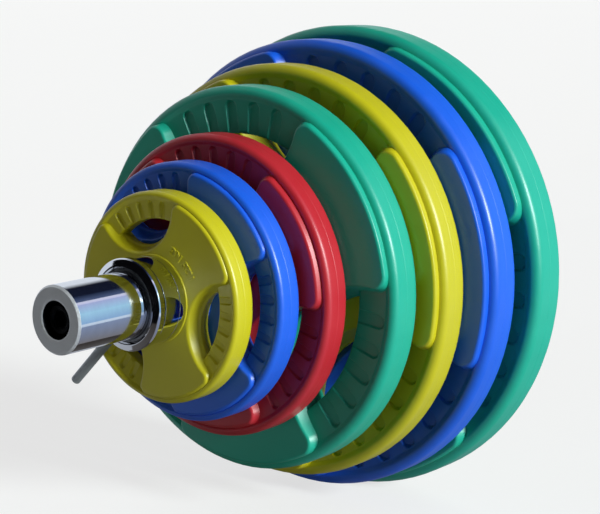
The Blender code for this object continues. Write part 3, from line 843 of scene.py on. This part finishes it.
class BARBELL_OT_sleeve(bpy.types.Operator):
    """Builds the sleeve, the stop collar, the shaft and the bolt in the sleeve's end."""

    bl_idname = "barbell.sleeve"
    bl_label = "Sleeve and shaft"

    def execute(self, context):
        edge = context.scene.barbell_chrome.edge_break
        low, high = span("sleeve_tube")
        radius = reach("sleeve_tube")
        bore = reach("inner_bushing") + GAP
        washer_low, _ = span("end_washer")
        floor = washer_low - 2 * GAP
        _, bushing_end = span("outer_bushing")
        web = bushing_end + GAP
        neck = NOSE_RADIUS + RUN_GAP
        tube = round_piece(
            "sleeve",
            [
                (bore, low, 0), (radius, low, edge), (radius, high - SLEEVE_CHAMFER, edge / 2),
                (radius - SLEEVE_CHAMFER, high, edge / 2), (END_RECESS_RADIUS, high, RECESS_ROUNDING),
                (END_RECESS_RADIUS, floor, 0), (neck, floor, 0), (neck, web, 0), (bore, web, 0),
            ],
            "sleeve", "sleeve_tube", "polished_chrome",
        )
        tube.data.materials.append(finish("turned_chrome"))
        tube.data.materials.append(finish("black_oxide_steel"))
        # Faces nearer the axis than the recess's wall, in the recess at the sleeve's end, get the bolt's
        # near-black finish: painted shade, standing for the shade that falls in the recess.
        for face in tube.data.polygons:
            if math.hypot(*face.center.xy) < END_RECESS_RADIUS + edge / 2:
                face.material_index = 2
            elif face.center.z > high - SLEEVE_CHAMFER:
                face.material_index = 1
        simple_ring(
            "inboard_stop_collar", radius + GAP, "sleeve", "stop_collar", "polished_chrome",
            STOP_COLLAR_ROUNDING,
        )
        self.shaft(edge)
        self.bolt()
        simple_ring(
            "bronze_thrust_washer", reach("inner_bushing") - BUSHING_WALL, "bar", "thrust_washer",
            "sintered_bronze", edge / 2,
        )
        return {"FINISHED"}

    def shaft(self, edge):
        """The shaft: a polished grip length and the ground journal that the sleeve turns on."""
        low, high = span("bar_shaft")
        radius = reach("bar_shaft")
        washer_low, _ = span("thrust_washer")
        shoulder = washer_low - GAP
        journal = reach("inner_bushing") - BUSHING_WALL - GAP
        tap = BOLT_RADIUS + GAP
        _, bushing_end = span("outer_bushing")
        journal_end = bushing_end + GAP - RUN_GAP
        bolt_low, _ = span("end_bolt")
        tap_end = bolt_low - RUN_GAP
        round_piece(
            "shaft",
            [
                (0, low, 0), (radius - SHAFT_CHAMFER, low, 0), (radius, low + SHAFT_CHAMFER, 0),
                (radius, shoulder, edge / 2), (journal, shoulder, 0), (journal, journal_end, 0),
                (NOSE_RADIUS, journal_end, 0), (NOSE_RADIUS, high, 0), (tap, high, 0), (tap, tap_end, 0),
                (0, tap_end - tap, 0),
            ],
            "bar", "bar_shaft", "polished_chrome",
        )

    def bolt(self):
        """The socket bolt in the sleeve's end, with a cupped head."""
        low, high = span("end_bolt")
        head = reach("end_bolt")
        base = high - BOLT_HEAD_HEIGHT
        cup_floor = high - BOLT_CUP_DEPTH
        body = object_from("socket_bolt", turned(softened([
            (0, low, 0), (BOLT_RADIUS, low, 0.001), (BOLT_RADIUS, base, 0), (head, base, FINE_EDGE),
            (head, high, 0.0005), (BOLT_CUP_RADIUS, high, 0.0004),
            (BOLT_CUP_RADIUS - BOLT_CUP_DEPTH, cup_floor, FINE_EDGE), (0, cup_floor, 0),
        ])))
        outline = arc((0, 0), BOLT_HEX_ACROSS / math.sqrt(3), 0, 2 * math.pi, 6)[:-1]
        ends = (cup_floor - BOLT_HEX_DEPTH, high + BOLT_RADIUS)
        socket = object_from("socket", skinned([[(x, y, z) for x, y in outline] for z in ends]))
        combined(body, [(socket, "DIFFERENCE")])
        dressed(body, "bar", "end_bolt", "black_oxide_steel")


class BARBELL_OT_lever_collar(bpy.types.Operator):
    """Builds the lever collar: flanged body, collet, pressure ring, lever ring and lever."""

    bl_idname = "barbell.lever_collar"
    bl_label = "Lever collar"

    def execute(self, context):
        props = context.scene.barbell_chrome
        bore = reach("sleeve_tube") + GAP
        self.body(props, bore)
        collet_low, collet_high = span("grip_collet")
        wall = reach("grip_collet")
        round_piece(
            "split_collet",
            [
                (bore, collet_low, 0), (wall - COLLET_TAPER, collet_low, FINE_EDGE),
                (wall, collet_high, FINE_EDGE), (bore, collet_high, FINE_EDGE),
            ],
            "collar", "grip_collet", "machined_steel",
        )
        simple_ring(
            "thrust_ring", bore, "clamp_ring", "pressure_ring", "polished_chrome",
            props.edge_break / 3,
        )
        self.lever(props)
        return {"FINISHED"}

    def body(self, props, bore):
        """The collar's body: a screwed barrel and a flange whose face falls back towards its edge."""
        low, high = span("collar_body")
        flange = reach("collar_body")
        flange_low = high - FLANGE_WIDTH
        seat = reach("grip_collet") + GAP
        collet_low, _ = span("grip_collet")
        seat_low = collet_low - GAP
        round_piece(
            "flanged_body",
            [
                (bore, low, 0), (SCREW_RADIUS, low, TURNED_EDGE), (SCREW_RADIUS, flange_low, 0),
                (flange, flange_low, props.edge_break),
                (flange, high - FLANGE_CONE_DEPTH, props.flange_rounding),
                (flange - FLANGE_CONE_WIDTH, high, FLANGE_CONE_ROUNDING),
                (bore + MOUTH_FLARE, high, TURNED_EDGE), (seat, high - MOUTH_DEPTH, 0),
                (seat - COLLET_TAPER, seat_low, 0), (bore, seat_low, 0),
            ],
            "collar", "collar_body", "polished_chrome",
        )

    def lever(self, props):
        """The ring that the lever turns, with a boss where the lever screws in, and the lever."""
        low, high = span("lever_ring")
        middle = (low + high) / 2
        half = (high - low) / 2
        inner, outer = LEVER_RING_INNER, LEVER_RING_OUTER
        edge = props.edge_break
        ring = object_from("clamp_ring_barrel", turned(softened([
            (inner, -half, edge / 3), (inner, half, edge / 3),
            (outer, half, edge / 3), (outer, -half, edge / 3),
        ])))
        upright = Matrix.Rotation(-math.pi / 2, 4, "X")
        boss_base = (inner + outer) / 2
        boss = object_from("lever_boss", turned(softened([
            (0, boss_base, 0), (LEVER_BOSS_RADIUS, boss_base, 0),
            (LEVER_BOSS_RADIUS, LEVER_BOSS_TOP, edge * 1.6), (0, LEVER_BOSS_TOP, 0),
        ]), SMALL_STEPS))
        boss.matrix_world = upright
        hole_radius, hole_top = LEVER_RADIUS + GAP, LEVER_BOSS_TOP + half
        hole = object_from("lever_hole", turned([
            (0, inner / 2), (hole_radius, inner / 2), (hole_radius, hole_top), (0, hole_top),
        ], SMALL_STEPS))
        hole.matrix_world = upright
        combined(ring, [(boss, "UNION"), (hole, "DIFFERENCE")])
        dressed(ring, "lever", "lever_ring", "polished_chrome", middle, LEVER_CLOCK)
        rod = object_from("lever_rod", turned(softened([
            (0, inner + GAP, 0), (LEVER_RADIUS, inner + GAP, TURNED_EDGE),
            (LEVER_RADIUS - LEVER_TAPER, LEVER_REACH, LEVER_TIP_ROUNDING), (0, LEVER_REACH, 0),
        ]), SMALL_STEPS))
        rod.data.transform(upright)
        dressed(rod, "lever", "clamp_lever", "drawn_zinc_steel", middle, LEVER_CLOCK)


class BARBELL_OT_inner_pieces(bpy.types.Operator):
    """Gives the pieces that stay as solids, inside the sleeve, their finishes."""

    bl_idname = "barbell.inner_pieces"
    bl_label = "Inner pieces"

    def execute(self, context):
        kept = {
            "inner_bushing": "sintered_bronze",
            "outer_bushing": "sintered_bronze",
            "end_washer": "machined_steel",
        }
        for node, material in kept.items():
            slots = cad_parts[node].data.materials
            slots.clear()
            slots.append(finish(material))
        return {"FINISHED"}


def sun(name, towards, strength, angle, hex_colour):
    """A broad, even light. Towards points to where it comes from."""
    lamp = bpy.data.lights.new(name, "SUN")
    lamp.color = linear(hex_colour)
    lamp.energy = strength
    lamp.angle = math.radians(angle)
    obj = bpy.data.objects.new(name, lamp)
    obj.rotation_euler = Vector(towards).to_track_quat("Z", "Y").to_euler()
    bpy.context.scene.collection.objects.link(obj)


def seen_directly(tree):
    """1 for what the camera, a mirror or glass sees, and 0 for light that falls on the object."""
    path = add_node(tree, "ShaderNodeLightPath")
    either = add_node(
        tree, "ShaderNodeMath", {0: path.outputs["Is Camera Ray"], 1: path.outputs["Is Glossy Ray"]},
        operation="MAXIMUM",
    )
    return add_node(
        tree, "ShaderNodeMath", {0: either.outputs[0], 1: path.outputs["Is Transmission Ray"]},
        operation="MAXIMUM",
    ).outputs[0]


def reflected_only(name, shape):
    """A panel of the studio that glows in its own vertex tones, and only shows in mirrors and sheen."""
    panel = object_from(name, shape)
    made = bpy.data.materials.new(name)
    made.use_nodes = True
    tree = made.node_tree
    tree.nodes.remove(tree.nodes["Principled BSDF"])
    tone = add_node(tree, "ShaderNodeAttribute", attribute_name="tone")
    glow = add_node(tree, "ShaderNodeEmission", {"Color": tone.outputs["Color"], "Strength": 1.0})
    tree.links.new(glow.outputs[0], tree.nodes["Material Output"].inputs["Surface"])
    made.cycles.emission_sampling = "NONE"
    panel.data.materials.append(made)
    panel.visible_camera = False
    panel.visible_diffuse = False
    panel.visible_shadow = False
    panel.visible_transmission = False


class BARBELL_OT_studio(bpy.types.Operator):
    """Builds the pale floor, the soft lights and the camera."""

    bl_idname = "barbell.studio"
    bl_label = "Studio"

    def execute(self, context):
        props = context.scene.barbell_studio
        self.floor()
        self.world(props)
        sun("key", (0.93, -0.02, 0.36), props.key, 14, "F6FFFF")
        sun("fill", (-0.15, -0.5, 0.85), props.fill, 60, "FFF2E2")
        sun("back", (-0.6, 0.75, 0.3), props.back, 40, "FFFFFF")
        for strip in STRIPS:
            self.strip(strip)
        self.wall("black_flag", TUNNEL_FRONT, "08080A")
        self.wall("back_wall", TUNNEL_BACK, "70767F")
        self.camera()
        context.scene.view_settings.view_transform = "Standard"
        return {"FINISHED"}

    def strip(self, strip):
        """Part of a wide tube round the bar, laid flat where it would pass below the floor."""
        ground = CAD_BOUNDS[0][2] + TUNNEL_LIFT
        shape = bmesh.new()
        tone = shape.verts.layers.float_color.new("tone")
        first, last = Vector(linear(strip.start_tone)), Vector(linear(strip.end_tone))
        steps = math.ceil((strip.end - strip.start) / STRIP_STEP)
        rows = []
        for i in range(steps + 1):
            clock = math.radians(strip.start + (strip.end - strip.start) * i / steps)
            up = math.cos(clock)
            away = TUNNEL_RADIUS if up * TUNNEL_RADIUS > ground else ground / up
            rows.append([
                shape.verts.new((away * math.sin(clock), along, away * up))
                for along in (TUNNEL_FRONT, TUNNEL_BACK)
            ])
            for vertex in rows[-1]:
                vertex[tone] = (*first.lerp(last, i / steps), 1)
        for here, following in zip(rows, rows[1:]):
            shape.faces.new((*here, *reversed(following)))
        reflected_only(strip.name, shape)

    def wall(self, name, along, hex_colour):
        """Closes one end of the tunnel."""
        shape = bmesh.new()
        tone = shape.verts.layers.float_color.new("tone")
        side = WALL_REACH
        corners = [
            shape.verts.new((x, along, z))
            for x, z in ((-side, -side), (side, -side), (side, side), (-side, side))
        ]
        for corner in corners:
            corner[tone] = (*linear(hex_colour), 1)
        shape.faces.new(corners)
        reflected_only(name, shape)

    def floor(self):
        """A wide sheet of pale paper that the plates stand on."""
        low, _ = CAD_BOUNDS
        shape = bmesh.new()
        bmesh.ops.create_circle(shape, cap_ends=True, radius=FLOOR_RADIUS, segments=64)
        floor = object_from("floor", shape)
        floor.location.z = low[2]
        made, tree, shader, coordinates = new_material("seamless_paper")
        noise = add_node(tree, "ShaderNodeTexNoise", {"Vector": coordinates, "Scale": 900.0})
        bumped(tree, noise.outputs["Fac"], 0.0001, shader)
        # White to the camera, mid grey to the plates, so that little of the key comes back from it.
        direct = seen_directly(tree)
        two_tones(tree, direct, linear("9C9C9A"), linear("F4F4F2"), shader.inputs["Base Color"])
        shader.inputs["Roughness"].default_value = 0.9
        white = add_node(tree, "ShaderNodeEmission", {"Strength": 1.0})
        share = add_node(tree, "ShaderNodeMath", {0: direct, 1: 0.7}, operation="MULTIPLY")
        mix = add_node(
            tree, "ShaderNodeMixShader", {0: share.outputs[0], 1: shader.outputs[0], 2: white.outputs[0]}
        )
        tree.links.new(mix.outputs[0], tree.nodes["Material Output"].inputs["Surface"])
        floor.data.materials.append(made)

    def world(self, props):
        """Weak light from all round, and white where the camera or a mirror looks past the tunnel."""
        world = bpy.data.worlds.new("studio")
        bpy.context.scene.world = world
        world.use_nodes = True
        tree = world.node_tree
        background = tree.nodes["Background"]
        background.inputs["Color"].default_value = (1, 1, 1, 1)
        strength = add_node(
            tree, "ShaderNodeMix", {0: seen_directly(tree), 2: props.ambient, 3: 1.0}, data_type="FLOAT"
        )
        tree.links.new(strength.outputs[0], background.inputs["Strength"])

    def camera(self):
        """The photo's view: from the right of the bar's end, a little above it, with a long lens."""
        data = bpy.data.cameras.new("camera")
        data.sensor_width = 36
        data.lens = 93.9
        camera = bpy.data.objects.new("camera", data)
        _, end = span("sleeve_tube")
        camera.location = (0.8024, -end - 0.7154, 0.2320)
        camera.rotation_euler = Vector((-0.6222, 0.7633, -0.1737)).to_track_quat("-Z", "Y").to_euler()
        bpy.context.scene.collection.objects.link(camera)
        bpy.context.scene.camera = camera


class BARBELL_PT_sidebar(bpy.types.Panel):
    """Lists the barbell's pieces and their settings."""

    bl_label = "Loaded barbell end"
    bl_space_type = "VIEW_3D"
    bl_region_type = "UI"
    bl_category = "Barbell"

    def draw(self, context):
        for group_name in GROUPS:
            group = getattr(context.scene, group_name)
            for name in group.__annotations__:
                self.layout.prop(group, name)
        for operator in OPERATORS:
            self.layout.operator(operator.bl_idname)


GROUPS = {
    "barbell_rubber": BARBELL_PG_rubber,
    "barbell_chrome": BARBELL_PG_chrome,
    "barbell_studio": BARBELL_PG_studio,
}
OPERATORS = (
    BARBELL_OT_grip_plates,
    BARBELL_OT_sleeve,
    BARBELL_OT_lever_collar,
    BARBELL_OT_inner_pieces,
    BARBELL_OT_studio,
)


def register():
    """Registers the settings, the operators and the panel."""
    for group in GROUPS.values():
        bpy.utils.register_class(group)
    for name, group in GROUPS.items():
        setattr(bpy.types.Scene, name, PointerProperty(type=group))
    for operator in OPERATORS:
        bpy.utils.register_class(operator)
    bpy.utils.register_class(BARBELL_PT_sidebar)


def unregister():
    """Takes away what register added, in the reverse order."""
    bpy.utils.unregister_class(BARBELL_PT_sidebar)
    for operator in reversed(OPERATORS):
        bpy.utils.unregister_class(operator)
    for name, group in GROUPS.items():
        delattr(bpy.types.Scene, name)
        bpy.utils.unregister_class(group)


def main():
    """Builds the whole scene."""
    register()
    bpy.ops.barbell.grip_plates()
    bpy.ops.barbell.sleeve()
    bpy.ops.barbell.lever_collar()
    bpy.ops.barbell.inner_pieces()
    bpy.ops.barbell.studio()


if __name__ == "__main__":
    main()
